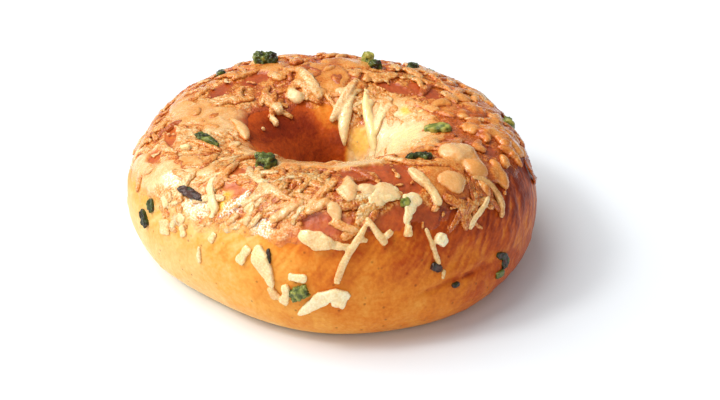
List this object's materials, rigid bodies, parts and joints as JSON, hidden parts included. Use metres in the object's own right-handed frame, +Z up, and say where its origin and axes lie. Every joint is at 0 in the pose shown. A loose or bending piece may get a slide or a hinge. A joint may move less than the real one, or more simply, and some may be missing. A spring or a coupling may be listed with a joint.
{
  "type": "bagel",
  "caption": "Baked bagel: an uneven ring of bread with a flat base and a small oval hole, its top coated in melted cheese with grated shreds, crumbs and diced green jalapeno baked on.",
  "frame": {"origin": "centre of the bounding box, at the flat base that the bagel rests on", "axes": "+Z up through the hole, from the base to the coated top; +X to the right and +Y away from the viewer in the picture"},
  "size_m": [0.1098, 0.1105, 0.0424],
  "materials": {
    "crust": "golden brown baked dough crust, satin",
    "cheese": "melted and browned hard cheese, satin and slightly oily",
    "jalapeno": "baked green chilli skin, shiny in spots"
  },
  "bodies": {
    "root": {"bagel": "crust"}
  },
  "joints": []
}
